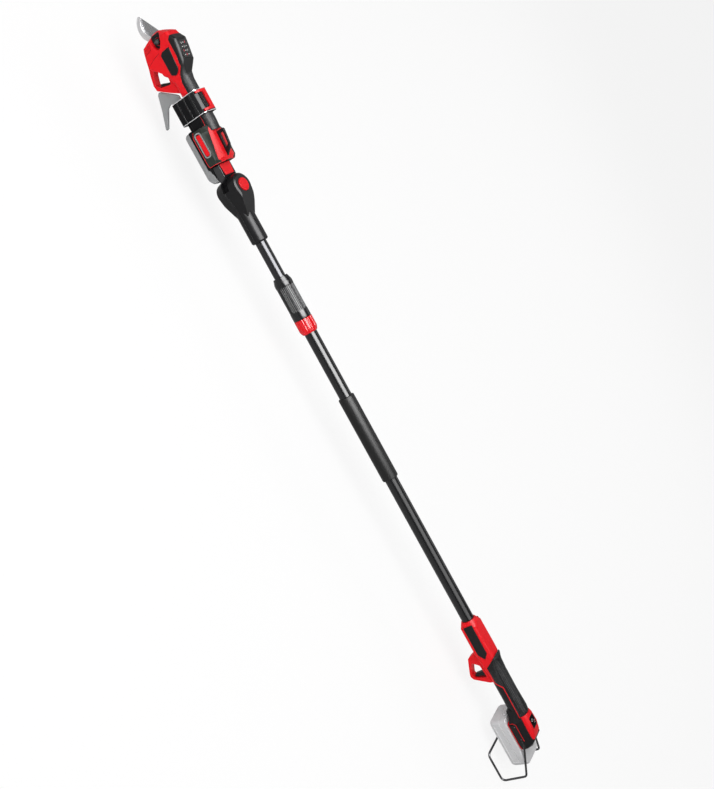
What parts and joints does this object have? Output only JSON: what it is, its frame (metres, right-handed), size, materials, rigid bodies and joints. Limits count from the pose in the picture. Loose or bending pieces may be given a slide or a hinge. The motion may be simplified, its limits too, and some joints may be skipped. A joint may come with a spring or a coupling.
{
  "type": "cordless pole pruner",
  "caption": "Battery pole pruner: telescopic pole with foam grip and lock nut, tilting joint, clamped-on bypass shears with pull hook, wire stand.",
  "frame": {"origin": "Under the middle of the tool's length, below the pole, at the underside of the wire stand", "axes": "+X along the pole towards the blades, +Z the tool's back, away from the triggers; the pole lies level"},
  "size_m": [1.9418, 0.1012, 0.1856],
  "materials": {
    "red_plastic": "satin moulded",
    "black_plastic": "satin moulded",
    "gloss_black": "glossy",
    "grip_rubber": "fine texture",
    "black_tube": "gloss black coating on aluminium tube",
    "foam": "closed-cell foam, matt",
    "grey_plastic": "moulded",
    "flank_plastic": "moulded",
    "pale_plastic": "frosted",
    "steel": "ground",
    "wire_steel": "black coated wire",
    "hook_metal": "grey coating",
    "copper_alloy": "plain",
    "cell_cans": "plain"
  },
  "bodies": {
    "handle": {"handle_shell_left": "red_plastic", "handle_shell_right": "red_plastic", "grip_skin": "grip_rubber", "under_grip": "black_plastic", "handle_panel_left": "black_plastic", "handle_panel_right": "black_plastic", "rear_display": "gloss_black", "battery_foot": "black_plastic", "foot_trim": "red_plastic", "terminal_block": "copper_alloy", "stand_bail": "wire_steel", "bail_clamp_left": "black_plastic", "bail_clamp_right": "black_plastic", "trigger_switch": "black_plastic", "outer_tube": "black_tube", "foam_grip": "foam", "tube_collar": "red_plastic", "collet": "grey_plastic"},
    "rear_trigger": {"rear_trigger": "black_plastic"},
    "lock_nut": {"lock_nut": "black_plastic"},
    "battery_pack": {"pack_lower_case": "pale_plastic", "pack_upper_case": "pale_plastic", "cell_block": "cell_cans"},
    "pack_button": {"pack_button": "pale_plastic"},
    "mast": {"inner_tube": "black_tube", "guide_bush": "grey_plastic", "yoke_lower": "black_plastic", "yoke_upper": "black_plastic", "hinge_bolt": "steel", "button_spring": "steel"},
    "tilt_button": {"tilt_button": "red_plastic"},
    "cradle": {"adaptor_upper": "black_plastic", "adaptor_lower": "grey_plastic", "shears_foot": "flank_plastic", "foot_cover": "red_plastic", "foot_inlay_left": "red_plastic", "foot_inlay_right": "red_plastic", "hanging_loop": "black_plastic", "shears_shell_left": "red_plastic", "shears_shell_right": "red_plastic", "shears_cover": "grip_rubber", "shears_panel_left": "black_plastic", "shears_panel_right": "black_plastic", "shears_display": "gloss_black", "motor": "steel", "gearbox": "grey_plastic", "shears_switch": "black_plastic", "counter_blade": "steel", "pivot_bolt": "steel", "pivot_nut": "steel", "cradle_saddle": "black_plastic", "pull_hook": "hook_metal"},
    "adaptor_latch": {"adaptor_latch": "red_plastic"},
    "clamp_band": {"clamp_band": "black_plastic"},
    "clamp_latch": {"clamp_latch": "red_plastic"},
    "shears_trigger": {"shears_trigger": "black_plastic"},
    "safety_lever": {"safety_lever": "black_plastic"},
    "cutting_blade": {"cutting_blade": "steel"},
    "drive_pinion": {"drive_pinion": "steel"}
  },
  "joints": [
    {"name": "rear_trigger_pull", "type": "hinge", "parent": "handle", "child": "rear_trigger", "pos_m": [-0.69641, 0, 0.0956], "axis": [0, 1, 0], "range_deg": [0, 7], "stiffness_Nm_per_rad": 0.4, "springref_deg": -8.59},
    {"name": "lock_nut_turn", "type": "hinge", "parent": "handle", "child": "lock_nut", "pos_m": [0.30559, 0, 0.1116], "axis": [1, 0, 0], "range_deg": [0, 90]},
    {"name": "telescope", "type": "slide", "parent": "handle", "child": "mast", "axis": [1, 0, 0], "range_m": [-0.085, 0.7]},
    {"name": "pack_slide", "type": "slide", "parent": "handle", "child": "battery_pack", "axis": [-1, 0, 0], "range_m": [0, 0.09]},
    {"name": "pack_release", "type": "slide", "parent": "battery_pack", "child": "pack_button", "axis": [-1, 0, 0], "range_m": [0, 0.003], "stiffness_N_per_m": 600, "springref_m": -0.002},
    {"name": "tilt_release", "type": "slide", "parent": "mast", "child": "tilt_button", "axis": [0, 0, -1], "range_m": [0, 0.003], "stiffness_N_per_m": 800, "springref_m": -0.003, "deforming": ["button_spring"]},
    {"name": "head_tilt", "type": "hinge", "parent": "mast", "child": "cradle", "pos_m": [0.56859, 0, 0.1116], "axis": [0, 0, 1], "range_deg": [-45, 45]},
    {"name": "adaptor_release", "type": "slide", "parent": "cradle", "child": "adaptor_latch", "axis": [0, 0, -1], "range_m": [0, 0.003], "stiffness_N_per_m": 800, "springref_m": -0.003},
    {"name": "band_open", "type": "hinge", "parent": "cradle", "child": "clamp_band", "pos_m": [0.75659, -0.0239, 0.1446], "axis": [1, 0, 0], "range_deg": [0, 100]},
    {"name": "latch_open", "type": "hinge", "parent": "clamp_band", "child": "clamp_latch", "pos_m": [0.75459, 0.0175, 0.1631], "axis": [1, 0, 0], "range_deg": [-60, 0]},
    {"name": "shears_trigger_pull", "type": "hinge", "parent": "cradle", "child": "shears_trigger", "pos_m": [0.81759, 0, 0.1206], "axis": [0, 1, 0], "range_deg": [0, 7], "stiffness_Nm_per_rad": 0.4, "springref_deg": -8.59},
    {"name": "safety_swing", "type": "hinge", "parent": "cradle", "child": "safety_lever", "pos_m": [0.86659, 0, 0.0966], "axis": [0, 1, 0], "range_deg": [-8, 10]},
    {"name": "blade_pivot", "type": "hinge", "parent": "cradle", "child": "cutting_blade", "pos_m": [0.90459, 0, 0.1366], "axis": [0, 1, 0], "range_deg": [-48, 0]},
    {"name": "pinion_spin", "type": "hinge", "parent": "cradle", "child": "drive_pinion", "pos_m": [0.87321, 0, 0.13934], "axis": [0, 1, 0], "range_deg": [-4, 158]}
  ],
  "couplings": [
    {"joint": "pinion_spin", "follows": "blade_pivot", "ratio": -3.2}
  ]
}
